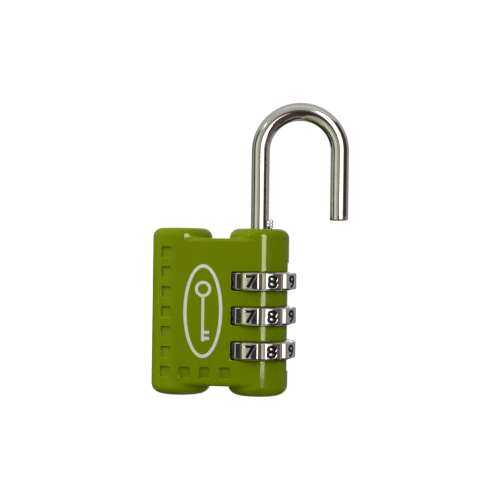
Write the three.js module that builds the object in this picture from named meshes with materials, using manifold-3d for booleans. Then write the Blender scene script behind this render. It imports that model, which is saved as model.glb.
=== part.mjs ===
// Three-dial combination padlock for luggage, drawn open with its shackle turned outwards.
// Millimetres, +Z up, +X towards the dials, -Y is the front.
// The origin is on the dial axis, at the flat end that the lock stands on.
import * as THREE from 'three';
import { mergeVertices } from 'three/addons/utils/BufferGeometryUtils.js';
import Module from 'manifold-3d';

const wasm = await Module();
wasm.setup();

// ---- driving dimensions ----
const CYLINDER_R = 6.5; // both upright cylinders of the housing
const CYLINDER_SPACING = 16.9; // the left cylinder's axis is this far towards -X
const HOUSING_H = 36;
const TOP_FILLET = 2;
const BOTTOM_FILLET = 2.2;
const WEB_LOW = 2.2; // the flat web that joins the cylinders
const WEB_HIGH = 33.8;
const WEB_FILLET = 0.85;

const DIAL_PITCH = 7.4;
const DIAL_LOW_Z = 9.9; // middle of the lowest dial
const DIAL_NAMES = ['bottom', 'middle', 'top'];
const DIAL_R = 8.16; // over the faces that carry the digits
const DIAL_H = 3.6;
const DIGITS = 10;
const FACE_HALF_ANGLE = 12; // degrees, half the face that a digit stands on
const GROOVE_DEPTH = 0.31; // V groove for the finger between two faces
const FIRST_FACE_ANGLE = 28; // degrees from the front towards +X
const SLOT_R = 8.35;
const SLOT_H = 4;

const BORE_R = 3.7; // down the dial cylinder, from its open lower end
const BORE_TOP_Z = 28.8;
const SIDE_FLAT_X = 6.3; // shallow flat down the dial cylinder's outer side
const SIDE_FLAT_Z = [5.3, 28.7];

const ROD_R = 1.99;
const ROD_HOLE_R = 2.15;
const LEG_SPACING = 17.2;
const LONG_LEG_LOW = 8;
const SHORT_LEG_LOW = 38;
const BEND_CENTRE_Z = 53;
const SHORT_LEG_HOLE_LOW = 29.5;
const KEY_REACH = 2.94; // outer end of the key that locks the shackle's turn
const KEY_Z = [36.12, 38.2];
const TOOTH_REACH = 2.6;
const TOOTH_H = 1.6;
const TOOTH_RISE = 1.7; // a tooth's lower side above its dial's middle, shackle lifted
const KEY_WIDTH = 1.5;
const KEYWAY_WIDTH = 1.9;
const KEYWAY_REACH = 3.2;

const SLEEVE_R = 3.15;
const SLEEVE_WALL = 0.4;
const SLEEVE_SPAN = [-3.4, 3.7]; // below and above its dial's middle
const SLEEVE_FLOOR = [-1, 1.3];
const SPLINE_H = 2.4;
const SLEEVE_SPLINE_R = 3.55;
const DIAL_TOOTH_R = 3.3;
const DIAL_ROOT_R = 3.75;
const SPLINE_HALF_ANGLE = 6; // degrees, half a sleeve spline
const DIAL_TOOTH_HALF_ANGLE = 7;

const DETENT_ANGLE = -98; // degrees, at the middle of a groove
const DETENT_BALL_R = 0.75;
const DETENT_HOLE_R = 0.87;
const DETENT_HOLE_DEPTH = 13; // from the dial axis
const DETENT_GAP = 0.08;

const CLIP_Z = [8.35, 8.6];
const CLIP_GROOVE_R = 1.6;
const CLIP_R = 2.5;
const CAP_Z = [7.3, 7.7];
const CAP_R = 2.2;
const PLUG_H = 1.2;
const PLUG_R = 3.65;
const CLUTCH_WASHER_Z = [5.8, 6.2];
const SPRING_WIRE_R = 0.2;
const TOUCH_GAP = 0.3;

const POCKET_SIZE = 2.3;
const POCKET_CORNER = 0.35;
const POCKET_DEPTH = 0.4;
const POCKET_FIRST = { x: -19.6, z: 5.05 };
const POCKET_COLUMN = { count: 7, pitch: 4.28 };
const POCKET_ROW = { count: 3, pitch: 4.36 };
const CURVED_POCKET_FLOOR = -5.5; // the corner column is pressed into the curved side

const ROUND = 48; // sides of a large circle
const SMALL_ROUND = 20;

const radians = THREE.MathUtils.degToRad;
const material = (color, roughness, metalness) =>
  new THREE.MeshStandardMaterial({ color, roughness, metalness, flatShading: true });
const greenPaint = () => material(0x67780a, 0.3, 0.1);
const chrome = () => material(0xc9c6c2, 0.12, 1);
const springSteel = () => material(0x8d8f92, 0.35, 1);
const brass = () => material(0xb08d4a, 0.35, 1);
const zinc = () => material(0x9a9c9e, 0.5, 1);

const padlock = new THREE.Group();

// ---- solids and meshes ----
function solidOf(geometry) {
  const bare = geometry.clone();
  bare.deleteAttribute('normal');
  bare.deleteAttribute('uv');
  const merged = mergeVertices(bare);
  return new wasm.Manifold(
    new wasm.Mesh({
      numProp: 3,
      vertProperties: new Float32Array(merged.attributes.position.array),
      triVerts: new Uint32Array(merged.index.array),
    }),
  );
}

function geometryOf(solid) {
  const { vertProperties, triVerts } = solid.getMesh();
  const geometry = new THREE.BufferGeometry();
  geometry.setAttribute('position', new THREE.BufferAttribute(vertProperties, 3));
  geometry.setIndex(new THREE.BufferAttribute(triVerts, 1));
  geometry.computeVertexNormals();
  return geometry;
}

function addPiece(name, geometry, look, parent = padlock) {
  const mesh = new THREE.Mesh(geometry, look);
  mesh.name = name;
  parent.add(mesh);
  return mesh;
}

// A point at an angle from the front (-Y) towards +X.
function around(radius, degrees) {
  const a = radians(degrees);
  return new THREE.Vector2(radius * Math.sin(a), -radius * Math.cos(a));
}

function arcPoints(cx, cy, radius, from, to, steps) {
  return Array.from({ length: steps + 1 }, (_, i) => {
    const a = radians(from + ((to - from) * i) / steps);
    return new THREE.Vector2(cx + radius * Math.cos(a), cy + radius * Math.sin(a));
  });
}

// Turns a profile of (radius, height) points about +Z.
function lathe(points, sides = ROUND) {
  return new THREE.LatheGeometry(points, sides).rotateX(Math.PI / 2);
}

function discSolid(radius, low, high, sides = ROUND) {
  const profile = [[0, low], [radius, low], [radius, high], [0, high]];
  return lathe(profile.map(([r, z]) => new THREE.Vector2(r, z)), sides);
}

function ringSolid(inner, outer, low, high, sides = ROUND) {
  const profile = [[inner, low], [outer, low], [outer, high], [inner, high], [inner, low]];
  return lathe(profile.map(([r, z]) => new THREE.Vector2(r, z)), sides);
}

function prism(outline, low, high, hole) {
  const shape = new THREE.Shape(outline);
  if (hole) shape.holes.push(new THREE.Path(hole));
  const geometry = new THREE.ExtrudeGeometry(shape, { depth: high - low, bevelEnabled: false });
  return geometry.translate(0, 0, low);
}

function block(x, y, z) {
  const geometry = new THREE.BoxGeometry(x[1] - x[0], y[1] - y[0], z[1] - z[0]);
  return geometry.translate((x[0] + x[1]) / 2, (y[0] + y[1]) / 2, (z[0] + z[1]) / 2);
}

function roundedRectangle(width, height, radius) {
  const x = width / 2 - radius;
  const y = height / 2 - radius;
  return [
    ...arcPoints(x, -y, radius, -90, 0, 3),
    ...arcPoints(x, y, radius, 0, 90, 3),
    ...arcPoints(-x, y, radius, 90, 180, 3),
    ...arcPoints(-x, -y, radius, 180, 270, 3),
  ];
}

class Helix extends THREE.Curve {
  constructor(radiusLow, radiusHigh, low, high, turns) {
    super();
    Object.assign(this, { radiusLow, radiusHigh, low, high, turns });
  }

  getPoint(t, target = new THREE.Vector3()) {
    const a = t * this.turns * 2 * Math.PI;
    const radius = THREE.MathUtils.lerp(this.radiusLow, this.radiusHigh, t);
    const z = THREE.MathUtils.lerp(this.low, this.high, t);
    return target.set(radius * Math.cos(a), radius * Math.sin(a), z);
  }
}

function sweptRod(radius, sides, path, steps) {
  const section = new THREE.Shape(arcPoints(0, 0, radius, 0, 360 - 360 / sides, sides - 1));
  return new THREE.ExtrudeGeometry(section, { steps, bevelEnabled: false, extrudePath: path });
}

function coilSpring(radiusLow, radiusHigh, low, high, turns, wire, stepsPerTurn) {
  const path = new Helix(radiusLow, radiusHigh, low + wire, high - wire, turns);
  return sweptRod(wire, 6, path, turns * stepsPerTurn);
}

const dialZ = (i) => DIAL_LOW_Z + i * DIAL_PITCH;

// ---- housing: one die casting of two cylinders and the web between them ----
function cylinderProfile() {
  return [
    new THREE.Vector2(0, 0),
    ...arcPoints(CYLINDER_R - BOTTOM_FILLET, BOTTOM_FILLET, BOTTOM_FILLET, -90, 0, 4),
    ...arcPoints(CYLINDER_R - TOP_FILLET, HOUSING_H - TOP_FILLET, TOP_FILLET, 0, 90, 4),
    new THREE.Vector2(0, HOUSING_H),
  ];
}

function webSolid() {
  const outline = roundedRectangle(2 * CYLINDER_R, WEB_HIGH - WEB_LOW, WEB_FILLET);
  const toWebPlane = new THREE.Matrix4().makeBasis(
    new THREE.Vector3(0, 1, 0),
    new THREE.Vector3(0, 0, 1),
    new THREE.Vector3(1, 0, 0),
  );
  const geometry = prism(outline, -CYLINDER_SPACING, 0).applyMatrix4(toWebPlane);
  return solidOf(geometry.translate(0, 0, (WEB_LOW + WEB_HIGH) / 2));
}

function pocketSolid(x, z, floor) {
  const outline = roundedRectangle(POCKET_SIZE, POCKET_SIZE, POCKET_CORNER);
  const geometry = prism(outline, -floor, CYLINDER_R + 1).rotateX(Math.PI / 2);
  return solidOf(geometry.translate(x, 0, z));
}

function detentHole(z) {
  const hole = discSolid(DETENT_HOLE_R, CYLINDER_R, DETENT_HOLE_DEPTH, SMALL_ROUND);
  hole.rotateX(Math.PI / 2).rotateZ(radians(DETENT_ANGLE)).translate(0, 0, z);
  return solidOf(hole);
}

function housingSolid() {
  let body = solidOf(lathe(cylinderProfile()))
    .add(solidOf(lathe(cylinderProfile()).translate(-CYLINDER_SPACING, 0, 0)))
    .add(webSolid());
  const sideFlat = block([SIDE_FLAT_X, CYLINDER_R + 1], [-CYLINDER_R, CYLINDER_R], SIDE_FLAT_Z);
  const keyway = block(
    [-KEYWAY_REACH, KEYWAY_REACH],
    [-KEYWAY_WIDTH / 2, KEYWAY_WIDTH / 2],
    [BORE_TOP_Z - 1, HOUSING_H + 1],
  );
  const shortLegHole = discSolid(ROD_HOLE_R, SHORT_LEG_HOLE_LOW, HOUSING_H + 1, SMALL_ROUND);
  const cuts = [
    sideFlat,
    keyway,
    shortLegHole.translate(-LEG_SPACING, 0, 0),
    discSolid(BORE_R, -1, BORE_TOP_Z),
    discSolid(ROD_HOLE_R, BORE_TOP_Z - 1, HOUSING_H + 1, SMALL_ROUND),
  ].map(solidOf);
  DIAL_NAMES.forEach((_, i) => {
    cuts.push(solidOf(discSolid(SLOT_R, dialZ(i) - SLOT_H / 2, dialZ(i) + SLOT_H / 2, 72)));
    cuts.push(detentHole(dialZ(i)));
  });
  for (let i = 0; i < POCKET_COLUMN.count; i++) {
    const z = POCKET_FIRST.z + i * POCKET_COLUMN.pitch;
    cuts.push(pocketSolid(POCKET_FIRST.x, z, CURVED_POCKET_FLOOR));
  }
  for (let i = 1; i <= POCKET_ROW.count; i++) {
    const x = POCKET_FIRST.x + i * POCKET_ROW.pitch;
    cuts.push(pocketSolid(x, POCKET_FIRST.z, -CYLINDER_R + POCKET_DEPTH));
  }
  for (const cut of cuts) body = body.subtract(cut);
  return body;
}

addPiece('housing', geometryOf(housingSolid()), greenPaint());
addPiece('bottom_plug', discSolid(PLUG_R, 0, PLUG_H), greenPaint());

// ---- dials: faceted rings with inner teeth, and the splined sleeves that they drive ----
function splineOutline(rootR, tipR, tipHalfAngle, firstAngle) {
  const points = [];
  const pitch = 360 / DIGITS;
  for (let i = 0; i < DIGITS; i++) {
    const middle = firstAngle + i * pitch;
    points.push(around(tipR, middle - tipHalfAngle), around(tipR, middle + tipHalfAngle));
    points.push(around(rootR, middle + tipHalfAngle + 1));
    points.push(around(rootR, middle + pitch - tipHalfAngle - 1));
  }
  return points;
}

function dialOutline() {
  const points = [];
  const pitch = 360 / DIGITS;
  for (let i = 0; i < DIGITS; i++) {
    const face = FIRST_FACE_ANGLE + i * pitch;
    for (const across of [-1, -0.5, 0, 0.5, 1]) {
      points.push(around(DIAL_R, face + across * FACE_HALF_ANGLE));
    }
    points.push(around(DIAL_R - GROOVE_DEPTH, face + pitch / 2));
  }
  return points;
}

function sleeveSolid() {
  const [low, high] = SLEEVE_SPAN;
  const [floorLow, floorHigh] = SLEEVE_FLOOR;
  const inner = SLEEVE_R - SLEEVE_WALL;
  const tube = lathe(
    [
      [ROD_HOLE_R, floorLow], [inner, floorLow], [inner, low], [SLEEVE_R, low],
      [SLEEVE_R, high], [inner, high], [inner, floorHigh], [ROD_HOLE_R, floorHigh],
      [ROD_HOLE_R, floorLow],
    ].map(([r, z]) => new THREE.Vector2(r, z)),
    40,
  );
  const rootR = SLEEVE_R - SLEEVE_WALL / 4;
  const splines = splineOutline(rootR, SLEEVE_SPLINE_R, SPLINE_HALF_ANGLE, FIRST_FACE_ANGLE);
  const inside = arcPoints(0, 0, inner + SLEEVE_WALL / 4, 0, 351, 39);
  const gateWidth = [-KEYWAY_WIDTH / 2, KEYWAY_WIDTH / 2];
  const gate = block([-inner, inner], gateWidth, [floorLow - 1, floorHigh + 1]);
  return solidOf(tube)
    .add(solidOf(prism(splines, -SPLINE_H / 2, SPLINE_H / 2, inside)))
    .subtract(solidOf(gate));
}

const dialTeeth = splineOutline(
  DIAL_ROOT_R,
  DIAL_TOOTH_R,
  DIAL_TOOTH_HALF_ANGLE,
  FIRST_FACE_ANGLE + 180 / DIGITS,
);

DIAL_NAMES.forEach((level, i) => {
  const stage = new THREE.Group();
  stage.position.z = dialZ(i);
  padlock.add(stage);
  const ring = prism(dialOutline(), -DIAL_H / 2, DIAL_H / 2, dialTeeth);
  addPiece(`dial_${level}`, ring, chrome(), stage);
  addPiece(`clutch_sleeve_${level}`, geometryOf(sleeveSolid()), brass(), stage);

  const detent = new THREE.Group();
  detent.rotation.z = radians(DETENT_ANGLE);
  stage.add(detent);
  const ballCentre = DIAL_R + DETENT_GAP + DETENT_BALL_R;
  const ball = new THREE.SphereGeometry(DETENT_BALL_R, 12, 8);
  addPiece(`detent_ball_${level}`, ball, springSteel(), detent).position.y = -ballCentre;
  const springLow = ballCentre + DETENT_BALL_R + 0.1;
  const spring = coilSpring(0.5, 0.5, springLow, DETENT_HOLE_DEPTH - 0.1, 4, 0.12, 10);
  addPiece(`detent_spring_${level}`, spring.rotateX(Math.PI / 2), springSteel(), detent);
});

// ---- shackle: one bent rod with a key at the top of its long leg and a tooth for each dial ----
class ShacklePath extends THREE.Curve {
  // Each straight leg takes one step and the bend shares the rest.
  constructor(steps) {
    super();
    this.legShare = 1 / steps;
  }

  getPoint(t, target = new THREE.Vector3()) {
    const bendR = LEG_SPACING / 2;
    const share = this.legShare;
    if (t < share) {
      return target.set(0, 0, THREE.MathUtils.lerp(LONG_LEG_LOW, BEND_CENTRE_Z, t / share));
    }
    if (t > 1 - share) {
      const down = (t - 1 + share) / share;
      return target.set(LEG_SPACING, 0, THREE.MathUtils.lerp(BEND_CENTRE_Z, SHORT_LEG_LOW, down));
    }
    const a = Math.PI * (1 - (t - share) / (1 - 2 * share));
    return target.set(bendR + bendR * Math.cos(a), 0, BEND_CENTRE_Z + bendR * Math.sin(a));
  }

  getPointAt(u, target) {
    return this.getPoint(u, target);
  }

  getTangentAt(u, target = new THREE.Vector3()) {
    const share = this.legShare;
    const turn = THREE.MathUtils.clamp((u - share) / (1 - 2 * share), 0, 1) * Math.PI;
    return target.set(Math.sin(turn), 0, Math.cos(turn));
  }
}

function shackleSolid() {
  const steps = 30;
  const rod = solidOf(sweptRod(ROD_R, 20, new ShacklePath(steps), steps));
  const side = [-KEY_WIDTH / 2, KEY_WIDTH / 2];
  let shackle = rod.add(solidOf(block([ROD_R / 2, KEY_REACH], side, KEY_Z)));
  DIAL_NAMES.forEach((_, i) => {
    const low = dialZ(i) + TOOTH_RISE;
    shackle = shackle.add(solidOf(block([ROD_R / 2, TOOTH_REACH], side, [low, low + TOOTH_H])));
  });
  const groove = ringSolid(CLIP_GROOVE_R, ROD_R + 1, CLIP_Z[0] - 0.05, CLIP_Z[1] + 0.05, 20);
  return shackle.subtract(solidOf(groove));
}

function clipOutline() {
  const mouth = 50; // degrees of the ring that are open
  const outer = arcPoints(0, 0, CLIP_R, mouth / 2, 360 - mouth / 2, 24);
  const inner = arcPoints(0, 0, CLIP_GROOVE_R + 0.08, 360 - mouth / 2, mouth / 2, 24);
  return [...outer, ...inner];
}

addPiece('shackle', geometryOf(shackleSolid()), chrome());
addPiece('retaining_clip', prism(clipOutline(), ...CLIP_Z), springSteel());

// ---- springs and seats in the lower bore ----
const springSeat = PLUG_H + TOUCH_GAP;
const shackleSpringHigh = CAP_Z[0] - TOUCH_GAP;
const clutchSpringHigh = CLUTCH_WASHER_Z[0] - TOUCH_GAP;
addPiece('spring_cap', discSolid(CAP_R, ...CAP_Z, SMALL_ROUND), zinc());
addPiece(
  'shackle_spring',
  coilSpring(2.4, 1.5, springSeat, shackleSpringHigh, 5, SPRING_WIRE_R, 16),
  springSteel(),
);
addPiece('clutch_washer', ringSolid(2.75, 3.55, ...CLUTCH_WASHER_Z), zinc());
addPiece(
  'clutch_spring',
  coilSpring(3.2, 3.2, springSeat, clutchSpringHigh, 3, SPRING_WIRE_R, 20),
  springSteel(),
);

export default padlock;
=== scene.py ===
# Looks for a three-dial luggage padlock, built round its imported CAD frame.
# Shapes are worked out in millimetres in the CAD frame and written to Blender in metres.
import math

import bmesh
import bpy
import numpy as np
from mathutils import Matrix, Vector


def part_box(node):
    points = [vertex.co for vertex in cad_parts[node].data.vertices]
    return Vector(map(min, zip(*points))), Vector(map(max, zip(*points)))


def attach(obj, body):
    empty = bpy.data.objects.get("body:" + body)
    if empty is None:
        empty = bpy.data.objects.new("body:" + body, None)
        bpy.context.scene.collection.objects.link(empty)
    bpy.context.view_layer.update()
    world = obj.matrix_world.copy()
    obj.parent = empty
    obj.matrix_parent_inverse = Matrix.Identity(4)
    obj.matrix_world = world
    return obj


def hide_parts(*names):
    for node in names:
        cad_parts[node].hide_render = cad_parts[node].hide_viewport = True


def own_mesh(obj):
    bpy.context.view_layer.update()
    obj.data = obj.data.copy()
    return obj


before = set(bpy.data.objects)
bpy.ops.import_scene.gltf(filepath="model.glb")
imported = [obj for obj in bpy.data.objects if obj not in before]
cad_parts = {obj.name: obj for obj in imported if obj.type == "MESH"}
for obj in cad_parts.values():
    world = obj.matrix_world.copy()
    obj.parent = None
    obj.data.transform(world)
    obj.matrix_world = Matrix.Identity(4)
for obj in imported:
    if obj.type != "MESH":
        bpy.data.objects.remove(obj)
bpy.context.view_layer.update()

MM = 0.001
LEVELS = ("bottom", "middle", "top")

# ---- sizes: the CAD model's, unless a comment says otherwise ----
CYLINDER_R = 6.5
LEFT_X = -16.9  # axis of the cylinder without dials
HOUSING_H = 36.0
TOP_FILLET = 2.0
BOTTOM_FILLET = 2.2
WEB_LOW = 2.2
WEB_HIGH = 33.8
WEB_FILLET = 0.85
DIAL_LOW_Z = 9.9  # middle of the lowest dial
DIAL_PITCH = 7.4
DIAL_Z = [DIAL_LOW_Z + DIAL_PITCH * i for i in range(len(LEVELS))]
DIAL_R = 8.16
DIAL_H = 3.6
DIGITS = 10
DIGIT_PITCH = 36.0  # degrees from one face to the next
FACE_HALF_ANGLE = 12.0  # degrees, half of a face that carries a digit
GROOVE_DEPTH = 0.42  # deeper than the CAD model's, for the sake of the reflections
BOSS_R = 7.2  # a low ring on both ends of a dial, which the CAD model leaves out
BOSS_H = 0.15
DIGIT_8_ANGLE = 28.0  # degrees from the front towards +X
SLOT_R = 8.35
SLOT_H = 4.0
BORE_R = 3.7
BORE_TOP = 28.8
ROD_R = 1.99
ROD_HOLE_R = 2.15
LEG_SPACING = 17.2
LONG_LEG_LOW = 8.0
SHORT_LEG_LOW = 38.0  # with the shackle lifted, as it is at rest
BEND_Z = 53.0
SHORT_HOLE_LOW = 29.5
KEYWAY_HALF = 0.95
KEYWAY_REACH = 3.2
DETENT_ANGLE = -98.0  # degrees from the front towards +X
DETENT_HOLE_R = 0.87
DETENT_HOLE_DEPTH = 13.0  # from the dials' axis
SIDE_FLAT_X = 6.3  # a shallow flat on the dial cylinder's outer side
SIDE_FLAT_MIDDLE_Z = 17.0
SIDE_FLAT_HALF_H = 11.7


# ---- distance fields: negative inside, in millimetres ----
def length(*parts):
    return np.sqrt(sum(p * p for p in parts))


def join(a, b, radius):
    """Union with a concave fillet."""
    corner = length(np.maximum(radius - a, 0), np.maximum(radius - b, 0))
    return np.maximum(radius, np.minimum(a, b)) - corner


def meet(a, b, radius):
    """Intersection with a rounded edge."""
    corner = length(np.maximum(radius + a, 0), np.maximum(radius + b, 0))
    return np.minimum(-radius, np.maximum(a, b)) + corner


def cut(a, b, radius):
    return meet(a, -b, radius)


def smooth_step(low, high, value):
    t = np.clip((value - low) / (high - low), 0, 1)
    return t * t * (3 - 2 * t)


def rounded_square(x, z, half_x, half_z, radius):
    qx = np.abs(x) - half_x + radius
    qz = np.abs(z) - half_z + radius
    outside = length(np.maximum(qx, 0), np.maximum(qz, 0))
    return outside + np.minimum(np.maximum(qx, qz), 0) - radius


def upright_cylinder(x, y, z, axis_x, radius, low, high, edge):
    side = length(x - axis_x, y) - radius
    return meet(side, np.abs(z - (low + high) / 2) - (high - low) / 2, edge)


def cell_points(values, cells, corners):
    """In each cell, the mean of the points where the surface crosses its edges."""
    at_corner = values[tuple((cells[:, None] + corners).transpose(2, 0, 1))]
    offset = np.zeros((len(cells), 3))
    crossings = np.zeros(len(cells))
    for a in range(8):
        for b in range(a + 1, 8):
            if np.abs(corners[a] - corners[b]).sum() != 1:
                continue
            va, vb = at_corner[:, a], at_corner[:, b]
            crossed = (va < 0) != (vb < 0)
            t = np.where(crossed, va / np.where(crossed, va - vb, 1), 0)
            offset += crossed[:, None] * (corners[a] + t[:, None] * (corners[b] - corners[a]))
            crossings += crossed
    return cells + offset / crossings[:, None]


def cell_quads(inside, cells):
    """For each grid edge that the surface crosses, a quad of the four cells round it."""
    count = np.array(inside.shape)
    number = np.full(count - 1, -1, np.int32)
    number[tuple(cells.T)] = np.arange(len(cells))
    quads = []
    for axis in range(3):
        u, v = (axis + 1) % 3, (axis + 2) % 3
        near = np.moveaxis(inside, axis, 0)[:-1]
        far = np.moveaxis(inside, axis, 0)[1:]
        edges = np.argwhere(np.moveaxis(near != far, 0, axis))
        keep = np.all((edges[:, [u, v]] > 0) & (edges[:, [u, v]] < count[[u, v]] - 1), axis=1)
        edges = edges[keep]
        ring = []
        for du, dv in ((1, 1), (0, 1), (0, 0), (1, 0)):
            cell = edges.copy()
            cell[:, u] -= du
            cell[:, v] -= dv
            ring.append(number[tuple(cell.T)])
        quad = np.stack(ring, axis=1)
        starts_inside = inside[tuple(edges.T)]
        quads.append(np.where(starts_inside[:, None], quad, quad[:, ::-1]))
    return np.concatenate(quads)


def field_mesh(name, field, low, high, step):
    """A quad mesh of a field's zero surface, one vertex in each cell that it crosses."""
    axes = [np.arange(a, b + step, step) for a, b in zip(low, high)]
    values = field(*np.meshgrid(*axes, indexing="ij"))
    inside = values < 0
    corners = np.array([(i, j, k) for i in (0, 1) for j in (0, 1) for k in (0, 1)])
    total = sum(
        inside[tuple(slice(c, n - 1 + c) for c, n in zip(corner, inside.shape))].astype(np.int8)
        for corner in corners
    )
    cells = np.argwhere((total > 0) & (total < 8))
    points = np.array(low) + step * cell_points(values, cells, corners)
    for _ in range(4):  # each round moves the points nearer to the true surface
        slope = field_slope(field, points)
        size = np.maximum((slope**2).sum(1), 0.05)
        move = (field(*points.T) / size)[:, None] * slope
        points -= np.clip(move, -step / 2, step / 2)
    normals = field_slope(field, points)
    normals /= np.maximum(np.linalg.norm(normals, axis=1), 1e-6)[:, None]
    return quad_mesh(name, points, cell_quads(inside, cells), normals)


def field_slope(field, points, small=0.02):
    slope = np.empty_like(points)
    for axis in range(3):
        shift = np.zeros(3)
        shift[axis] = small
        slope[:, axis] = field(*(points + shift).T) - field(*(points - shift).T)
    return slope / (2 * small)


# ---- meshes and objects ----
def quad_mesh(name, points, quads, normals=None):
    mesh = bpy.data.meshes.new(name)
    mesh.vertices.add(len(points))
    mesh.vertices.foreach_set("co", (np.asarray(points) * MM).ravel())
    mesh.loops.add(4 * len(quads))
    mesh.loops.foreach_set("vertex_index", np.asarray(quads).ravel())
    mesh.polygons.add(len(quads))
    mesh.polygons.foreach_set("loop_start", np.arange(0, 4 * len(quads), 4))
    mesh.update(calc_edges=True)
    mesh.validate()
    mesh.shade_smooth()
    if normals is not None:
        mesh.normals_split_custom_set_from_vertices(normals)
    return mesh


def finished_mesh(name, work):
    mesh = bpy.data.meshes.new(name)
    work.to_mesh(mesh)
    work.free()
    return mesh


def ring_points(centre, side, up, radius, sides):
    """A circle of points in the plane of two unit vectors."""
    turns = [2 * math.pi * i / sides for i in range(sides)]
    return [centre + radius * (side * math.cos(a) + up * math.sin(a)) for a in turns]


def tube_mesh(name, rings):
    """Rings of points in millimetres, joined into a tube with closed ends."""
    work = bmesh.new()
    rings = [[work.verts.new(point * MM) for point in ring] for ring in rings]
    sides = len(rings[0])
    for near, far in zip(rings, rings[1:]):
        for i in range(sides):
            j = (i + 1) % sides
            work.faces.new((near[i], near[j], far[j], far[i]))
    work.faces.new(rings[0][::-1])
    work.faces.new(rings[-1])
    bmesh.ops.recalc_face_normals(work, faces=work.faces)
    mesh = finished_mesh(name, work)
    mesh.shade_smooth()
    return mesh


def new_object(name, data):
    made = bpy.data.objects.new(name, data)
    bpy.context.scene.collection.objects.link(made)
    return made


def curve_mesh(curve):
    """The flat faces inside a filled curve or a text."""
    holder = new_object(curve.name, curve)
    bpy.context.view_layer.update()
    graph = bpy.context.evaluated_depsgraph_get()
    mesh = bpy.data.meshes.new_from_object(holder.evaluated_get(graph))
    bpy.data.objects.remove(holder)
    return mesh


def add_piece(name, mesh, body, material, slot_name, *nodes):
    piece = new_object(name, mesh)
    piece.data.materials.clear()
    piece.data.materials.append(material)
    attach(piece, body)
    if nodes:
        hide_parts(*nodes)
    return piece


# ---- materials ----
def new_material(name, **sockets):
    material = bpy.data.materials.new(name)
    material.use_nodes = True
    shader = material.node_tree.nodes["Principled BSDF"]
    for socket, value in sockets.items():
        shader.inputs[socket.replace("_", " ")].default_value = value
    return material, material.node_tree, shader


def texture_noise(tree, scale, detail=3.0, roughness=0.5):
    place = tree.nodes.new("ShaderNodeTexCoord")
    texture = tree.nodes.new("ShaderNodeTexNoise")
    texture.inputs["Scale"].default_value = scale
    texture.inputs["Detail"].default_value = detail
    texture.inputs["Roughness"].default_value = roughness
    tree.links.new(place.outputs["Object"], texture.inputs["Vector"])
    return texture


def ramp(tree, source, stops):
    """A colour ramp over a node's first output."""
    node = tree.nodes.new("ShaderNodeValToRGB")
    elements = node.color_ramp.elements
    while len(elements) < len(stops):
        elements.new(0.5)
    for element, (position, colour) in zip(elements, stops):
        element.position = position
        element.color = (*colour, 1)
    tree.links.new(source.outputs[0], node.inputs["Fac"])
    return node


def bump(tree, shader, source, distance_mm, strength=1.0, previous=None):
    node = tree.nodes.new("ShaderNodeBump")
    node.inputs["Distance"].default_value = distance_mm * MM
    node.inputs["Strength"].default_value = strength
    tree.links.new(source.outputs[0], node.inputs["Height"])
    if previous:
        tree.links.new(previous.outputs["Normal"], node.inputs["Normal"])
    tree.links.new(node.outputs["Normal"], shader.inputs["Normal"])
    return node


def mix_colour(tree, share, first, colour):
    """The first colour where the share is 0, and the plain colour where it is 1."""
    node = tree.nodes.new("ShaderNodeMix")
    node.data_type = "RGBA"
    sockets = [socket for socket in node.inputs if socket.enabled]
    tree.links.new(share, sockets[0])
    tree.links.new(first, sockets[1])
    sockets[2].default_value = (*colour, 1)
    return next(socket for socket in node.outputs if socket.enabled)


def grey(value):
    return (value, value, value)


# near-black painted shade for the insides of slots and bores
PAINTED_SHADE_INSIDE = (0.012, 0.012, 0.01)


def green_paint():
    """Glossy olive-green enamel with faint orange peel; inside slots and bores its colour gives way to
    near-black painted shade.
    """
    material, tree, shader = new_material(
        "green_paint", Roughness=0.07, IOR=1.5, Specular_Tint=(1.0, 1.0, 0.65, 1.0)
    )
    shader.inputs["Specular IOR Level"].default_value = 0.08
    tone = ramp(
        tree,
        texture_noise(tree, 120, 2),
        [(0.3, (0.128, 0.182, 0.0)), (0.7, (0.138, 0.193, 0.0))],
    )
    # the "hidden" attribute marks slots and bores, where painted shade replaces the green
    hidden = tree.nodes.new("ShaderNodeAttribute")
    hidden.attribute_name = "hidden"
    mixed = mix_colour(tree, hidden.outputs["Fac"], tone.outputs["Color"], PAINTED_SHADE_INSIDE)
    tree.links.new(mixed, shader.inputs["Base Color"])
    peel = bump(tree, shader, texture_noise(tree, 900, 1), 0.008, 0.5)
    bump(tree, shader, texture_noise(tree, 2600, 2), 0.006, 0.5, peel)
    return material


def chrome(name, colour, roughness, ripple_mm):
    material, tree, shader = new_material(name, Metallic=1.0)
    tint = ramp(
        tree,
        texture_noise(tree, 400, 3),
        [(0.3, tuple(0.93 * c for c in colour)), (0.7, colour)],
    )
    tree.links.new(tint.outputs["Color"], shader.inputs["Base Color"])
    haze = ramp(
        tree, texture_noise(tree, 700, 4), [(0.35, grey(roughness)), (0.75, grey(1.8 * roughness))]
    )
    tree.links.new(haze.outputs["Color"], shader.inputs["Roughness"])
    bump(tree, shader, texture_noise(tree, 500, 2), ripple_mm, 0.5)
    return material


def black_enamel():
    material, tree, shader = new_material("black_enamel", Roughness=0.35)
    shader.inputs["Specular IOR Level"].default_value = 0.04
    tone = ramp(
        tree, texture_noise(tree, 1500, 3), [(0.3, grey(0.004)), (0.8, (0.014, 0.013, 0.012))]
    )
    tree.links.new(tone.outputs["Color"], shader.inputs["Base Color"])
    bump(tree, shader, texture_noise(tree, 2500, 2), 0.01, 0.4)
    return material


def print_ink():
    """Pale warm grey pad print."""
    material, tree, shader = new_material("print_ink", Roughness=0.4)
    tone = ramp(
        tree,
        texture_noise(tree, 1200, 4),
        [(0.3, (0.46, 0.47, 0.345)), (0.7, (0.53, 0.54, 0.42))],
    )
    tree.links.new(tone.outputs["Color"], shader.inputs["Base Color"])
    bump(tree, shader, texture_noise(tree, 4000, 2), 0.003, 0.4)
    return material


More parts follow.
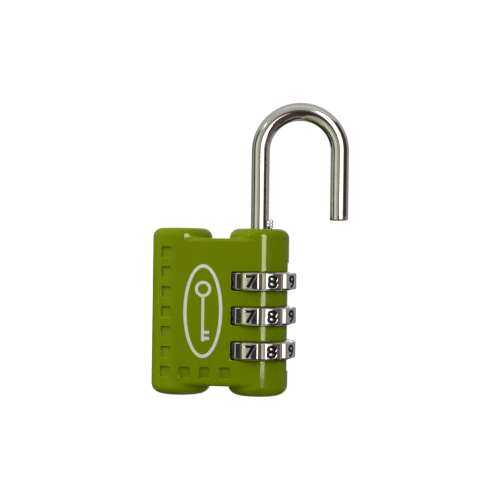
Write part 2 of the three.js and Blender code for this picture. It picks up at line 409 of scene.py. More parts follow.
def turned_metal(name, colour, roughness):
    """Bare machined or drawn metal, finely mottled."""
    material, tree, shader = new_material(name, Metallic=1.0)
    tone = ramp(
        tree,
        texture_noise(tree, 900, 4),
        [(0.3, tuple(0.7 * c for c in colour)), (0.7, colour)],
    )
    tree.links.new(tone.outputs["Color"], shader.inputs["Base Color"])
    haze = ramp(
        tree, texture_noise(tree, 1600, 3), [(0.3, grey(roughness)), (0.7, grey(1.5 * roughness))]
    )
    tree.links.new(haze.outputs["Color"], shader.inputs["Roughness"])
    bump(tree, shader, texture_noise(tree, 5000, 2), 0.004, 0.5)
    return material


paint = green_paint()
rod_chrome = chrome("rod_chrome", (0.76, 0.75, 0.72), 0.045, 0.001)
cast_chrome = chrome("cast_chrome", (0.78, 0.77, 0.74), 0.07, 0.01)
dial_chrome = chrome("dial_chrome", (0.76, 0.74, 0.72), 0.045, 0.001)
enamel = black_enamel()
ink = print_ink()
brass = turned_metal("turned_brass", (0.6, 0.43, 0.17), 0.28)
steel = turned_metal("spring_steel", (0.42, 0.42, 0.43), 0.25)
zinc = turned_metal("plain_zinc", (0.5, 0.51, 0.52), 0.4)


# ---- housing ----
WEB_LEDGE_FILLET = 0.3
WEB_LEDGE_GAIN = 0.4  # how much wider the fillet is at the front and back
WEB_LEDGE_SPAN = (3.5, 6.3)  # distances from the middle plane between which it widens
POCKET_HALF = 1.15
POCKET_DEPTH = 0.47  # 0.07 deeper than the CAD model's
POCKET_CORNER = 0.4
POCKET_FLOOR_EDGE = 0.12
POCKET_RIM = 0.17
POCKET_REACH = 0.6  # further than this from a pocket the body is left alone
SIDE_FLAT_RIM = 0.12
SLOT_CORNER = 0.4
SLOT_RIM = 0.2
BORE_CORNER = 0.2
BORE_RIM = 0.15
TOP_HOLE_RIM = 0.2
KEYWAY_CORNER = 0.2
SHORT_HOLE_CORNER = 0.3
SHORT_HOLE_RIM = 0.25
DETENT_HOLE_START = 6.0
DETENT_HOLE_RIM = 0.1
PAINTED_SHADE_SLOT_Y = 6.3  # slots get painted shade behind this distance from the middle plane
PAINTED_SHADE_TOP_GAP = 0.6  # holes get painted shade from this far below the top
# bores get painted shade above this height
PAINTED_SHADE_LOW_Z = 0.3
POCKET_COLUMN_X = -19.6  # on the curve, where pockets are cut square to the surface
POCKET_ROW_Z = 5.05
POCKET_COLUMN_PITCH = 4.28
POCKET_COLUMN_COUNT = 7
POCKET_ROW_PITCH = 4.36
POCKET_ROW_COUNT = 3
CURVED_POCKETS = [POCKET_ROW_Z + POCKET_COLUMN_PITCH * i for i in range(POCKET_COLUMN_COUNT)]
FLAT_POCKETS = [POCKET_COLUMN_X + POCKET_ROW_PITCH * i for i in range(1, POCKET_ROW_COUNT + 1)]


def casting(x, y, z):
    """The two cylinders and the web between them, before anything is cut out."""
    cylinders = []
    for axis_x in (LEFT_X, 0.0):
        side = length(x - axis_x, y) - CYLINDER_R
        top = meet(side, z - HOUSING_H, TOP_FILLET)
        cylinders.append(meet(top, -z, BOTTOM_FILLET))
    both = np.minimum(*cylinders)
    # the web's ledges run into the cylinders with a fillet that is widest at the front and back
    fillet = WEB_LEDGE_FILLET + WEB_LEDGE_GAIN * smooth_step(*WEB_LEDGE_SPAN, np.abs(y))
    upper = join(z - WEB_HIGH, both, fillet)
    lower = join(WEB_LOW - z, both, fillet)
    slab = np.abs(y) - CYLINDER_R
    web = meet(meet(slab, upper, WEB_FILLET), lower, WEB_FILLET)
    web = np.maximum(web, np.abs(x - LEFT_X / 2) + LEFT_X / 2)
    return np.minimum(both, web)


def pocket_prisms(x, y, z):
    """The square pockets as prisms that run back from the front to the middle plane."""
    around = CYLINDER_R * np.arctan2(x - LEFT_X, -y)
    middle = CYLINDER_R * math.asin((POCKET_COLUMN_X - LEFT_X) / CYLINDER_R)
    half_around = POCKET_HALF / math.cos(middle / CYLINDER_R)
    prisms = [
        rounded_square(around - middle, z - at_z, half_around, POCKET_HALF, POCKET_CORNER)
        for at_z in CURVED_POCKETS
    ]
    prisms += [
        rounded_square(x - at_x, z - POCKET_ROW_Z, POCKET_HALF, POCKET_HALF, POCKET_CORNER)
        for at_x in FLAT_POCKETS
    ]
    return np.maximum(np.minimum.reduce(prisms), y)


def cut_detent_holes(body, x, y, z):
    turn = math.radians(DETENT_ANGLE)
    out = x * math.sin(turn) - y * math.cos(turn)
    across = x * math.cos(turn) + y * math.sin(turn)
    for centre_z in DIAL_Z:
        hole = length(across, z - centre_z) - DETENT_HOLE_R
        hole = np.maximum(hole, np.maximum(out - DETENT_HOLE_DEPTH, DETENT_HOLE_START - out))
        body = cut(body, hole, DETENT_HOLE_RIM)
    return body


def housing_field(x, y, z):
    body = casting(x, y, z)
    side_flat = np.maximum(SIDE_FLAT_X - x, np.abs(z - SIDE_FLAT_MIDDLE_Z) - SIDE_FLAT_HALF_H)
    body = cut(body, side_flat, SIDE_FLAT_RIM)
    prism = pocket_prisms(x, y, z)
    pocket = meet(prism, -body - POCKET_DEPTH, POCKET_FLOOR_EDGE)
    body = np.where(prism < POCKET_REACH, cut(body, pocket, POCKET_RIM), body)
    for centre_z in DIAL_Z:
        low, high = centre_z - SLOT_H / 2, centre_z + SLOT_H / 2
        slot = upright_cylinder(x, y, z, 0.0, SLOT_R, low, high, SLOT_CORNER)
        body = cut(body, slot, SLOT_RIM)
    bore = upright_cylinder(x, y, z, 0.0, BORE_R, -2.0, BORE_TOP, BORE_CORNER)
    body = cut(body, bore, BORE_RIM)
    leg_hole = length(x, y) - ROD_HOLE_R
    keyway = meet(np.abs(x) - KEYWAY_REACH, np.abs(y) - KEYWAY_HALF, KEYWAY_CORNER)
    top_hole = np.maximum(np.minimum(leg_hole, keyway), BORE_TOP - 0.5 - z)
    body = cut(body, top_hole, TOP_HOLE_RIM)
    ends = (SHORT_HOLE_LOW, 40.0)
    short_hole = upright_cylinder(x, y, z, -LEG_SPACING, ROD_HOLE_R, *ends, SHORT_HOLE_CORNER)
    body = cut(body, short_hole, SHORT_HOLE_RIM)
    return cut_detent_holes(body, x, y, z)


def is_hidden(x, y, z):
    """Whether a point of the housing is in a slot or a hole, behind its rim, where shade is painted."""
    from_axis = length(x, y)
    from_dial = np.min([np.abs(z - dial_z) for dial_z in DIAL_Z], axis=0)
    below_top = z < HOUSING_H - PAINTED_SHADE_TOP_GAP
    at_slot = (from_dial < SLOT_H / 2 + 0.05) & (from_axis < SLOT_R + 0.1)
    in_slot = at_slot & (np.abs(y) < PAINTED_SHADE_SLOT_Y)
    in_bore = (from_axis < BORE_R + 0.25) & (z > PAINTED_SHADE_LOW_Z) & below_top
    in_short_hole = (length(x + LEG_SPACING, y) < ROD_HOLE_R + 0.1) & below_top
    return in_slot | in_bore | in_short_hole


def build_housing():
    step = 0.16
    margin = 0.5
    low = (LEFT_X - CYLINDER_R - margin, -CYLINDER_R - margin, -margin)
    high = (CYLINDER_R + margin, CYLINDER_R + margin, HOUSING_H + margin)
    mesh = field_mesh("housing_shell", housing_field, low, high, step)
    points = np.array([v.co for v in mesh.vertices]).T / MM
    # the "hidden" attribute holds where the paint gets painted shade
    hidden = mesh.attributes.new("hidden", "FLOAT", "POINT")
    hidden.data.foreach_set("value", is_hidden(*points).astype(float))
    add_piece("housing_shell", mesh, "housing", paint, "green_paint", "housing")


build_housing()


# ---- pad print: an oval ring round a plain upright key ----
PRINT_Y = -CYLINDER_R - 0.012  # just clear of the paint
OVAL_X = -11.38
OVAL_Z = 18.24
OVAL_HALF = (3.84, 9.63)
OVAL_LINE = 0.72
PRINT_HALF_THICKNESS = 0.01


def flat_print(name, outlines):
    """Closed outlines of (x, z) points as one thin raised film; a second outline is a hole."""
    curve = bpy.data.curves.new(name, "CURVE")
    curve.dimensions = "2D"
    curve.fill_mode = "BOTH"
    curve.extrude = PRINT_HALF_THICKNESS * MM
    for outline in outlines:
        spline = curve.splines.new("POLY")
        spline.points.add(len(outline) - 1)
        for point, (x, z) in zip(spline.points, outline):
            point.co = (x * MM, z * MM, 0, 1)
        spline.use_cyclic_u = True
    mesh = curve_mesh(curve)
    stand_up = Matrix.Translation((0, PRINT_Y * MM, 0)) @ Matrix.Rotation(math.radians(90), 4, "X")
    mesh.transform(stand_up)
    add_piece(name, mesh, "housing", ink, "green_paint")


def ellipse(centre, half, sides=160):
    turns = [2 * math.pi * i / sides for i in range(sides)]
    return [(centre[0] + half[0] * math.cos(a), centre[1] + half[1] * math.sin(a)) for a in turns]


def arc(centre, radius, start, end, steps):
    angles = [math.radians(start + (end - start) * i / steps) for i in range(steps + 1)]
    return [(centre[0] + radius * math.cos(a), centre[1] + radius * math.sin(a)) for a in angles]


def key_outline():
    """A bow with a hole, a shaft and two wards to its right."""
    bow = (OVAL_X, OVAL_Z + 4.7)
    bow_r = 1.75
    bow_hole_r = 1.1
    shaft = 0.3
    tip = OVAL_Z - 6.5
    tip_chamfer = 0.25
    ward = 1.1
    ward_h = 0.7
    neck = math.degrees(math.asin(shaft / bow_r))
    right = OVAL_X + shaft
    left = OVAL_X - shaft
    outline = arc(bow, bow_r, -90 + neck, 270 - neck, 60)
    outline += [(left, tip + tip_chamfer), (left + tip_chamfer, tip), (right, tip)]
    for low in (tip + 0.35, tip + 1.65):
        high = low + ward_h
        outline += [(right, low), (right + ward, low), (right + ward, high), (right, high)]
    return [outline, arc(bow, bow_hole_r, 0, 351, 39)]


outer = tuple(h + OVAL_LINE / 2 for h in OVAL_HALF)
inner = tuple(h - OVAL_LINE / 2 for h in OVAL_HALF)
flat_print("oval_print", [ellipse((OVAL_X, OVAL_Z), outer), ellipse((OVAL_X, OVAL_Z), inner)])
flat_print("key_print", key_outline())


# ---- dials ----
DIGIT_H = 2.75
DIGIT_W = 2.35
DIGIT_STROKE_GAIN = 0.1
NARROW_1 = 0.5  # the width of a 1 against the other digits
DIGIT_SHIFT = {8: -0.35, 7: 0.1, 9: 0.12}  # how far off the middle of its face a digit is cut
ENGRAVE_DEPTH = 0.17
FILL_DEPTH = 0.01  # of the enamel's surface below the face
FILL_OVERLAP = 0.02  # of the enamel below the engraving's floor
LOW_CHAMFER = 0.34
HIGH_CHAMFER = 0.16
DIAL_ROOT_R = 3.75
DIAL_TOOTH_R = 3.3
INNER_TOOTH_EDGE = (7.5, 8.5)  # degrees from a face's middle between which the bore narrows to a tooth
ENGRAVE_WALL = 0.08  # how wide the sloping side of an engraved digit is
FINE_COLUMNS = 44
FINE_MARGIN = 1.2  # degrees at each side of a face that need no fine columns
EDGE_STEPS = np.array([-0.5, -0.25, 0, 0.25, 0.5, 1.0])  # degrees round the edge of a face
FINE_ROWS = 48
PLATE_STEP = 0.07
PLATE_HALF = 1.75  # more than half of the largest digit


def dial_radius(degrees):
    """Outer radius at an angle from the middle of a face: the face, then a V groove."""
    half_groove = DIGIT_PITCH / 2 - FACE_HALF_ANGLE
    off_groove = np.abs(degrees - DIGIT_PITCH / 2)
    hollow = 1 - off_groove / half_groove
    return DIAL_R - GROOVE_DEPTH * (hollow + np.hypot(hollow, 0.05)) / 2


def digit_outline(digit):
    """The ends of a digit's outline segments, centred, in millimetres."""
    curve = bpy.data.curves.new("digit", "FONT")
    curve.body = str(digit)
    curve.resolution_u = 6
    work = bmesh.new()
    work.from_mesh(curve_mesh(curve))
    bmesh.ops.remove_doubles(work, verts=work.verts, dist=1e-5)
    edges = [[v.co[:2] for v in edge.verts] for edge in work.edges if edge.is_boundary]
    work.free()
    ends = np.array(edges)
    low, high = ends.min((0, 1)), ends.max((0, 1))
    width = DIGIT_W * (NARROW_1 if digit == 1 else 1.0)
    size = np.array((width, DIGIT_H)) - 2 * DIGIT_STROKE_GAIN
    ends = (ends - (low + high) / 2) / (high - low) * size
    ends[..., 0] += DIGIT_SHIFT.get(digit, 0)
    return ends


def digit_distance(ends, x, z):
    """Signed distance from points to a digit, negative inside."""
    a, b = ends[:, 0], ends[:, 1]
    points = np.stack([x.ravel(), z.ravel()], axis=1)[:, None]
    span = b - a
    t = np.clip(((points - a) * span).sum(2) / (span**2).sum(1), 0, 1)
    nearest = np.linalg.norm(points - a - t[..., None] * span, axis=2).min(1)
    px, pz = points[..., 0], points[..., 1]
    straddles = (a[:, 1] > pz) != (b[:, 1] > pz)
    rise = np.where(b[:, 1] == a[:, 1], 1, b[:, 1] - a[:, 1])
    crosses = px < a[:, 0] + (pz - a[:, 1]) * span[:, 0] / rise
    inside = (straddles & crosses).sum(1) % 2 == 1
    return np.where(inside, -nearest, nearest).reshape(x.shape) - DIGIT_STROKE_GAIN


def column_angles():
    """Angles across one face and the groove after it, close together where the digit stands."""
    digit_half = FACE_HALF_ANGLE - FINE_MARGIN
    fine = np.linspace(-digit_half, digit_half, FINE_COLUMNS)
    half_groove = DIGIT_PITCH / 2 - FACE_HALF_ANGLE
    side = np.concatenate([[0, 0.4], np.linspace(1, half_groove - 1, 5), half_groove + EDGE_STEPS])
    groove = DIGIT_PITCH / 2 + np.concatenate([-side[::-1], side[1:]])
    return np.concatenate([fine, groove])


def dial_section(radius, face, bore):
    """A closed loop of (radius, height) round a cut through the ring, up its face first."""
    half = DIAL_H / 2
    boss = half + BOSS_H
    mid = (BOSS_R + bore) / 2
    low_r, high_r = radius - LOW_CHAMFER, radius - HIGH_CHAMFER
    # steps of a few hundredths beside an edge keep its shading crisp
    loop = [(low_r, -half), (low_r + 0.04, 0.02 - half)]
    loop += [(radius - 0.04, LOW_CHAMFER - half - 0.05)]
    loop += face
    loop += [(radius - 0.03, half - HIGH_CHAMFER + 0.04), (high_r + 0.02, half - 0.02)]
    loop += [(high_r, half), (BOSS_R + 0.05, half), (BOSS_R, boss), (mid, boss)]
    loop += [(bore + 0.1, boss), (bore, boss - 0.1), (bore, 0.0), (bore, 0.1 - boss)]
    loop += [(bore + 0.1, -boss), (mid, -boss), (BOSS_R, -boss), (BOSS_R + 0.05, -half)]
    return loop


def dial_mesh(digits):
    """Points and quads of one ring, its height counted from its middle."""
    columns = column_angles()
    outer_r = dial_radius(columns)
    face_rows = np.linspace(LOW_CHAMFER - DIAL_H / 2, DIAL_H / 2 - HIGH_CHAMFER, FINE_ROWS)
    grid_x, grid_z = np.meshgrid(np.radians(columns) * DIAL_R, face_rows, indexing="ij")
    angles, sections = [], []
    for index in range(DIGITS):
        middle = DIGIT_8_ANGLE + DIGIT_PITCH * index
        distance = digit_distance(digits[(8 + index) % DIGITS], grid_x, grid_z)
        sink = ENGRAVE_DEPTH * smooth_step(0, -ENGRAVE_WALL, distance)
        for column, radius, column_sink in zip(columns, outer_r, sink):
            away = abs((column + DIGIT_PITCH / 2) % DIGIT_PITCH - DIGIT_PITCH / 2)
            tooth = smooth_step(*INNER_TOOTH_EDGE, away)
            bore = DIAL_ROOT_R - (DIAL_ROOT_R - DIAL_TOOTH_R) * tooth
            face = list(zip(radius - column_sink, face_rows))
            sections.append(dial_section(radius, face, bore))
            angles.append(math.radians(middle + column))
    angles = np.array(angles)[:, None]
    radii, heights = np.array(sections).transpose(2, 0, 1)
    points = np.stack([radii * np.sin(angles), -radii * np.cos(angles), heights], axis=2)
    ids = np.arange(radii.size).reshape(radii.shape)
    around, along = np.roll(ids, -1, axis=0), np.roll(ids, -1, axis=1)
    both = np.roll(around, -1, axis=1)
    quads = np.stack([ids, around, both, along], axis=2).reshape(-1, 4)
    return points.reshape(-1, 3), quads


def digit_plate(ends):
    """A flat grid of faces inside a digit, its edge vertices moved onto the outline."""
    steps = np.arange(-PLATE_HALF, PLATE_HALF, PLATE_STEP)
    x, z = np.meshgrid(steps, steps, indexing="ij")
    inside = digit_distance(ends, x + PLATE_STEP / 2, z + PLATE_STEP / 2) < 0
    plate = bmesh.new()
    verts = {}
    for i, k in np.argwhere(inside):
        corners = [(i, k), (i + 1, k), (i + 1, k + 1), (i, k + 1)]
        for corner in corners:
            if corner not in verts:
                verts[corner] = plate.verts.new((x[corner], z[corner], 0))
        plate.faces.new([verts[corner] for corner in corners])
    edge = [v for v in plate.verts if v.is_boundary]
    small = 0.01
    for _ in range(2):
        at = np.array([v.co[:2] for v in edge])
        distance = digit_distance(ends, *at.T)
        slope_x = digit_distance(ends, at[:, 0] + small, at[:, 1]) - distance
        slope_z = digit_distance(ends, at[:, 0], at[:, 1] + small) - distance
        size = np.maximum(length(slope_x, slope_z), 1e-4)
        for vertex, d, sx, sz, n in zip(edge, distance, slope_x, slope_z, size):
            vertex.co.x -= d * sx / n
            vertex.co.y -= d * sz / n
    return plate


def fill_mesh(digits):
    """The enamel in all ten digits: thin plates bent to the dial, sunk a little below its faces."""
    work = bmesh.new()
    for index in range(DIGITS):
        middle = math.radians(DIGIT_8_ANGLE + DIGIT_PITCH * index)
        part = digit_plate(digits[(8 + index) % DIGITS])
        solid = bmesh.ops.extrude_face_region(part, geom=part.faces[:])
        lifted = [g for g in solid["geom"] if isinstance(g, bmesh.types.BMVert)]
        for vertex in part.verts:
            vertex.co.z = -ENGRAVE_DEPTH - FILL_OVERLAP
        for vertex in lifted:
            vertex.co.z = -FILL_DEPTH
        for vertex in part.verts:
            across, z, rise = vertex.co
            a = middle + across / DIAL_R
            radius = DIAL_R + rise
            vertex.co = Vector((radius * math.sin(a), -radius * math.cos(a), z)) * MM
        bmesh.ops.recalc_face_normals(part, faces=part.faces)
        piece = finished_mesh("digit_part", part)
        work.from_mesh(piece)
        bpy.data.meshes.remove(piece)
    return finished_mesh("digit_fill", work)


def sharpen_grooves(mesh):
    """Keeps the bottom of each groove a crisp line."""
    x, y, _ = np.array([v.co for v in mesh.vertices]).T / MM
    angle = np.degrees(np.arctan2(x, -y)) - DIGIT_8_ANGLE
    off_groove = np.abs(angle % DIGIT_PITCH - DIGIT_PITCH / 2)
    in_groove = (off_groove < 0.05) & (length(x, y) > DIAL_R - GROOVE_DEPTH - 0.1)
    for edge in mesh.edges:
        edge.use_edge_sharp = bool(in_groove[list(edge.vertices)].all())


def build_dials():
    digits = {digit: digit_outline(digit) for digit in range(DIGITS)}
    points, quads = dial_mesh(digits)
    fill = fill_mesh(digits)
    for level, z in zip(LEVELS, DIAL_Z):
        body = f"dial_{level}"
        ring = quad_mesh(f"{body}_ring", points + (0, 0, z), quads)
        sharpen_grooves(ring)
        add_piece(f"{body}_ring", ring, body, dial_chrome, "dial_chrome", body)
        filling = fill.copy()
        filling.transform(Matrix.Translation((0, 0, z * MM)))
        add_piece(f"{body}_digits", filling, body, enamel, "dial_chrome", body)


build_dials()


# ---- shackle ----
KEY_REACH = 2.94
KEY_Z = (36.12, 38.2)
KEY_HALF = 0.75
KEY_MIDDLE_X = 1.6
KEY_INSET = 0.06  # room for the lumps on its end
KEY_SIDE_ROUND = 0.35
KEY_END_ROUND = 0.5
TOOTH_REACH = 2.6
TOOTH_MIDDLE_X = 1.5
TOOTH_ROUND = 0.15
TOOTH_H = 1.6
TOOTH_RISE = 1.7
CLIP_GROOVE = (8.3, 8.65, 1.6)  # low, high and the radius of its floor
LOW_END_CHAMFER = (0.2, 0.25)  # along and across the long leg's lower end
END_ROUND = 0.35
ABOVE_GROOVE_Z = 9.5
ROD_SIDES = 56
LONG_LEG_RINGS = 20
BEND_RINGS = 73
SHORT_LEG_RINGS = 8
END_RINGS = 6


def shackle_stations():
    """(x, z, direction in degrees from +Z towards +X, rod radius) along the rod."""
    low, high, groove_r = CLIP_GROOVE
    along, across = LOW_END_CHAMFER
    stations = [(0, LONG_LEG_LOW, 0, ROD_R - across), (0, LONG_LEG_LOW + along, 0, ROD_R)]
    stations += [(0, low, 0, ROD_R), (0, low, 0, groove_r), (0, high, 0, groove_r), (0, high, 0, ROD_R)]
    long_leg = np.linspace(ABOVE_GROOVE_Z, BEND_Z - 1, LONG_LEG_RINGS)
    stations += [(0, z, 0, ROD_R) for z in long_leg]
    bend_r = LEG_SPACING / 2
    for turn in np.linspace(0, 180, BEND_RINGS):
        a = math.radians(turn)
        stations.append((bend_r - bend_r * math.cos(a), BEND_Z + bend_r * math.sin(a), turn, ROD_R))
    short_leg = np.linspace(BEND_Z - 1, SHORT_LEG_LOW + 1, SHORT_LEG_RINGS)
    stations += [(LEG_SPACING, z, 180, ROD_R) for z in short_leg]
    for a in np.linspace(0, 90, END_RINGS):
        r = ROD_R - END_ROUND + END_ROUND * math.cos(math.radians(a))
        z = SHORT_LEG_LOW + END_ROUND - END_ROUND * math.sin(math.radians(a))
        stations.append((LEG_SPACING, z, 180, r))
    return stations


def rod_mesh(name, stations):
    rings = []
    for x, z, turn, radius in stations:
        a = math.radians(turn)
        side = Vector((math.cos(a), 0, -math.sin(a)))
        rings.append(ring_points(Vector((x, 0, z)), side, Vector((0, 1, 0)), radius, ROD_SIDES))
    mesh = tube_mesh(name, rings)
    mesh.set_sharp_from_angle(angle=math.radians(50))
    return mesh


def knobs(x, y, z):
    """Lumps like those of a swaged, plated nib."""
    rows = np.sin(10.5 * z + 0.7 * np.sin(5 * x) + 1.0)
    columns = np.cos(8.2 * (x - 2.45) + 0.4 * np.sin(7 * z))
    return 0.09 * rows * columns + 0.05 * np.sin(9 * y + 0.5) * rows


def key_field(x, y, z):
    """The key, whose inner end is hidden in the rod."""
    low, high = KEY_Z
    half_length = KEY_REACH - KEY_MIDDLE_X - KEY_INSET
    block = meet(np.abs(x - KEY_MIDDLE_X) - half_length, np.abs(y) - KEY_HALF, KEY_SIDE_ROUND)
    block = meet(block, np.abs(z - (low + high) / 2) - (high - low) / 2, KEY_END_ROUND)
    return block + knobs(x, y, z)


def tooth_field(middle):
    """A tooth at a height, whose inner end is hidden in the rod."""

    def field(x, y, z):
        along = np.abs(x - TOOTH_MIDDLE_X) - (TOOTH_REACH - TOOTH_MIDDLE_X)
        block = meet(along, np.abs(y) - KEY_HALF, TOOTH_ROUND)
        return meet(block, np.abs(z - middle) - TOOTH_H / 2, TOOTH_ROUND)

    return field


def build_shackle():
    rod = rod_mesh("shackle_rod", shackle_stations())
    add_piece("shackle_rod", rod, "shackle", rod_chrome, "shackle_chrome", "shackle")
    low, high = KEY_Z
    key = field_mesh("shackle_key", key_field, (0.0, -1, low - 0.3), (3.2, 1, high + 0.3), 0.06)
    add_piece("shackle_key", key, "shackle", cast_chrome, "shackle_chrome", "shackle")
    for level, z in zip(LEVELS, DIAL_Z):
        name = f"shackle_tooth_{level}"
        middle = z + TOOTH_RISE + TOOTH_H / 2
        box_low, box_high = (0.2, -1, middle - 1), (2.9, 1, middle + 1)
        tooth = field_mesh(name, tooth_field(middle), box_low, box_high, 0.12)
        add_piece(name, tooth, "shackle", rod_chrome, "shackle_chrome", "shackle")


build_shackle()


# ---- return spring: a fixed coil; the real one shortens as the shackle goes down ----
SPRING_LOW_R = 2.4
SPRING_HIGH_R = 1.5
SPRING_TURNS = 5
SPRING_WIRE_R = 0.2
WIRE_SIDES = 10
STEPS_PER_TURN = 28


def coil_mesh(name, low, high):
    """A conical coil of wire between two heights."""
    rings = []
    steps = SPRING_TURNS * STEPS_PER_TURN
    for i in range(steps + 1):
        t = i / steps
        a = 2 * math.pi * SPRING_TURNS * t
        radius = SPRING_LOW_R + (SPRING_HIGH_R - SPRING_LOW_R) * t
        z = low + SPRING_WIRE_R + (high - low - 2 * SPRING_WIRE_R) * t
        out = Vector((math.cos(a), math.sin(a), 0))
        centre = out * radius + Vector((0, 0, z))
        rings.append(ring_points(centre, out, Vector((0, 0, 1)), SPRING_WIRE_R, WIRE_SIDES))
    return tube_mesh(name, rings)


spring_low, spring_high = (c.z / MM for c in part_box("shackle_spring"))
spring = add_piece(
    "return_spring",
    coil_mesh("return_spring", spring_low, spring_high),
    "housing",
    steel,
    "spring_steel",
    "shackle_spring",
)
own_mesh(spring)

# ---- carried-over CAD nodes ----
NODE_MATERIALS = {
    "bottom_plug": paint,
    "retaining_clip": steel,
    "spring_cap": zinc,
    "clutch_washer": zinc,
    "clutch_spring": steel,
}
for level in LEVELS:
    NODE_MATERIALS[f"clutch_sleeve_{level}"] = brass
    NODE_MATERIALS[f"detent_ball_{level}"] = steel
    NODE_MATERIALS[f"detent_spring_{level}"] = steel
for node, material in NODE_MATERIALS.items():
    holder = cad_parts[node]
    holder.data.materials.clear()
    holder.data.materials.append(material)

# ---- stage ----
WHITE = (1.0, 1.0, 1.0)
FLOOR_R = 1500.0
FLOOR_DROP = 0.02  # the floor's gap below the lock
FLOOR_GREY = 0.15
FLOOR_GLOW = 0.98  # the floor gives off this much light, so that it stays white
BACKDROP_LIGHT = 1.05  # what the camera sees behind everything
SOFT_LIGHT = 0.56  # the dome's light at the horizon
SOFT_SLOPE = 0.22  # how much more of it comes from straight above


def build_floor():
    work = bmesh.new()
    bmesh.ops.create_circle(work, cap_ends=True, segments=96, radius=FLOOR_R * MM)
    floor = new_object("floor", finished_mesh("floor", work))
    floor.location.z = -FLOOR_DROP * MM
    material, _, shader = new_material("floor_white", Roughness=0.9, Specular_IOR_Level=0.0)
    shader.inputs["Base Color"].default_value = (*grey(FLOOR_GREY), 1)
    shader.inputs["Emission Color"].default_value = (*WHITE, 1)
    shader.inputs["Emission Strength"].default_value = FLOOR_GLOW
    floor.data.materials.append(material)
    floor.visible_glossy = False
    floor.visible_diffuse = False


# The studio round the lock as gloss sees it: a wall, and soft-edged cards, each over the ones before.
WALL = (0.4, 0.41, 0.4)
# Each card has its colour, then in degrees its headings from the front towards +X, its heights
# above the horizon and its soft edge.
CARDS = [
    ((0.3, 0.3, 0.3), (88, 200), (-90, 40), 4),
    ((1.2, 1.19, 1.15), (166, 200), (-25, 50), 4),
    ((1.2, 1.19, 1.15), (-200, -172), (-25, 50), 4),
    ((0.5, 0.49, 0.47), (-200, 200), (26, 90), 14),
    ((0.25, 0.25, 0.17), (-200, -95), (-90, 20), 6),
    ((0.72, 0.71, 0.68), (-60, 70), (54, 80), 10),
    ((0.2, 0.19, 0.17), (-200, 200), (-90, -62), 12),
    ((0.02, 0.017, 0.016), (-200, 200), (-90, -80), 5),
    ((0.02, 0.017, 0.016), (88, 160), (-90, -32), 6),
    ((0.02, 0.02, 0.016), (-160, -88), (-90, -32), 6),
    ((0.42, 0.4, 0.31), (-66, 0), (-50, 22), 8),
    ((0.74, 0.75, 0.61), (-66, -34), (-35, 20), 12),
    ((0.05, 0.055, 0.045), (-87, -65), (-40, 30), 4),
    ((0.075, 0.05, 0.045), (-16, 88), (-62, -11), 5),
    ((1.4, 1.4, 1.37), (2, 47), (-10, 25), 2),
    ((0.14, 0.1, 0.085), (48, 87), (-50, 45), 3),
    ((0.05, 0.036, 0.032), (52, 100), (1, 45), 2),
    ((0.04, 0.033, 0.032), (-17, 1), (-58, 1.5), 2),
    ((0.1, 0.09, 0.08), (-8, 1), (1, 16), 2),
    ((0.02, 0.02, 0.018), (-160, -102), (-40, 0.5), 3),
]


class NodeMaths:
    """Short calls for the maths nodes of one tree."""

    def __init__(self, tree):
        self.tree = tree

    def __call__(self, operation, *values):
        node = self.tree.nodes.new("ShaderNodeMath")
        node.operation = operation
        for socket, value in zip(node.inputs, values):
            if isinstance(value, bpy.types.NodeSocket):
                self.tree.links.new(value, socket)
            else:
                socket.default_value = value
        return node.outputs[0]

    def rise(self, value, start, end):
        """0 before start, 1 after end; start may be above end."""
        node = self.tree.nodes.new("ShaderNodeMapRange")
        node.interpolation_type = "SMOOTHSTEP"
        self.tree.links.new(value, node.inputs["Value"])
        node.inputs["From Min"].default_value = start
        node.inputs["From Max"].default_value = end
        return node.outputs["Result"]

    def between(self, value, low, high, soft):
        """1 inside the range, 0 outside it."""
        return self(
            "MULTIPLY",
            self.rise(value, low - soft / 2, low + soft / 2),
            self.rise(value, high + soft / 2, high - soft / 2),
        )


def background(tree, strength=1.0):
    node = tree.nodes.new("ShaderNodeBackground")
    node.inputs["Color"].default_value = (*WHITE, 1)
    node.inputs["Strength"].default_value = strength
    return node


def choose(tree, test, otherwise, chosen):
    """One shader for the rays that pass a test, and another for the rest."""
    node = tree.nodes.new("ShaderNodeMixShader")
    tree.links.new(test, node.inputs["Fac"])
    tree.links.new(otherwise.outputs[0], node.inputs[1])
    tree.links.new(chosen.outputs[0], node.inputs[2])
    return node


def build_world():
    """Gloss sees the wall and cards, the camera sees white, and the rest sees a soft white dome."""
    world = bpy.data.worlds.new("studio")
    bpy.context.scene.world = world
    world.use_nodes = True
    tree = world.node_tree
    tree.nodes.clear()
    maths = NodeMaths(tree)
    link = tree.links.new
    place = tree.nodes.new("ShaderNodeTexCoord")
    split = tree.nodes.new("ShaderNodeSeparateXYZ")
    link(place.outputs["Generated"], split.inputs[0])
    x, y, z = split.outputs

    heading = maths("ARCTAN2", x, maths("MULTIPLY", y, -1.0))
    degrees = maths("MULTIPLY", heading, 180 / math.pi)
    height = maths("MULTIPLY", maths("ARCSINE", z), 180 / math.pi)
    wall = tree.nodes.new("ShaderNodeRGB")
    wall.outputs[0].default_value = (*WALL, 1)
    colour = wall.outputs[0]
    for card, headings, heights, edge in CARDS:
        across = maths.between(degrees, *headings, edge)
        up = maths.between(height, *heights, edge)
        colour = mix_colour(tree, maths("MULTIPLY", across, up), colour, card)

    path = tree.nodes.new("ShaderNodeLightPath")
    soft = background(tree)
    link(maths("MULTIPLY_ADD", z, SOFT_SLOPE, SOFT_LIGHT), soft.inputs["Strength"])
    glossy = background(tree)
    link(colour, glossy.inputs["Color"])
    unseen = choose(tree, path.outputs["Is Glossy Ray"], soft, glossy)
    seen = choose(tree, path.outputs["Is Camera Ray"], unseen, background(tree, BACKDROP_LIGHT))
    out = tree.nodes.new("ShaderNodeOutputWorld")
    link(seen.outputs[0], out.inputs["Surface"])


LAMP_AIM = Vector((-5, 0, 25))


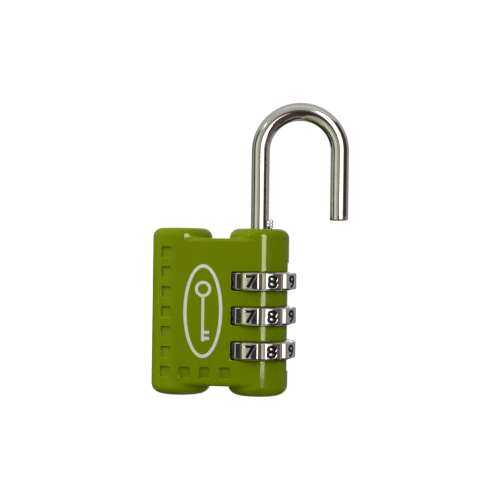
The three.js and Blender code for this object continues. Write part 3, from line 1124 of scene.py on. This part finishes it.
def area_light(name, heading, elevation, distance, size, power):
    """A rectangular white lamp aimed at the lock; heading is from the front towards +X."""
    a, e = math.radians(heading), math.radians(elevation)
    out = Vector((math.sin(a) * math.cos(e), -math.cos(a) * math.cos(e), math.sin(e)))
    data = bpy.data.lights.new(name, "AREA")
    data.shape = "RECTANGLE"
    data.size, data.size_y = (s * MM for s in size)
    data.energy = power
    lamp = new_object(name, data)
    lamp.location = (LAMP_AIM + out * distance) * MM
    lamp.rotation_mode = "QUATERNION"
    lamp.rotation_quaternion = out.to_track_quat("Z", "Y")
    return lamp


build_floor()
build_world()
# these two make the sharp highlights
strip = area_light("strip_light", 22.5, 15.8, 700, (215, 625), 22)
high_spot = area_light("high_spot", -42, 32, 700, (45, 45), 1.5)
for lamp in (strip, high_spot):
    lamp.visible_diffuse = False
# these three light the paint without showing as highlights
left_light = area_light("left_light", -70, 38, 600, (260, 260), 2.6)
right_light = area_light("right_light", 22, 30, 700, (260, 260), 1.55)
back_light = area_light("back_light", 172, 25, 700, (300, 300), 2.2)
for lamp in (left_light, right_light, back_light):
    lamp.visible_glossy = False

# ---- camera: as if the lock were turned a little in front of a level camera ----
SENSOR_WIDTH = 36
CAMERA_DISTANCE = 224.4
CAMERA_OFFSET = (-1.92, 31.37)
CAMERA_PIVOT = Vector((-5, 0, 18.5))
LOCK_YAW, LOCK_PITCH, LOCK_ROLL = (math.radians(a) for a in (-5.5, -0.23, 0.78))
MM_PER_FRAME = 109.35  # width of the frame at the pivot's distance


def build_camera():
    turn = (
        Matrix.Rotation(LOCK_ROLL, 3, "Y")
        @ Matrix.Rotation(LOCK_PITCH, 3, "X")
        @ Matrix.Rotation(LOCK_YAW, 3, "Z")
    )
    back = turn.transposed()
    place = Vector((CAMERA_OFFSET[0], -CAMERA_DISTANCE, CAMERA_OFFSET[1]))
    data = bpy.data.cameras.new("camera")
    data.sensor_width = SENSOR_WIDTH
    data.lens = SENSOR_WIDTH * CAMERA_DISTANCE / MM_PER_FRAME
    data.clip_start = 0.01
    camera = new_object("camera", data)
    look = back @ Matrix(((1, 0, 0), (0, 0, -1), (0, 1, 0)))
    where = (back @ (place - CAMERA_PIVOT) + CAMERA_PIVOT) * MM
    camera.matrix_world = Matrix.Translation(where) @ look.to_4x4()
    bpy.context.scene.camera = camera


build_camera()

# ---- view transform and limits on bright samples ----
scene = bpy.context.scene
scene.view_settings.view_transform = "Standard"
# single samples that are far too bright would leave specks and ragged highlights
scene.cycles.sample_clamp_indirect = 1.5
scene.cycles.sample_clamp_direct = 8.0
# light thrown by the chrome would tint the paint beside it
scene.cycles.caustics_reflective = False
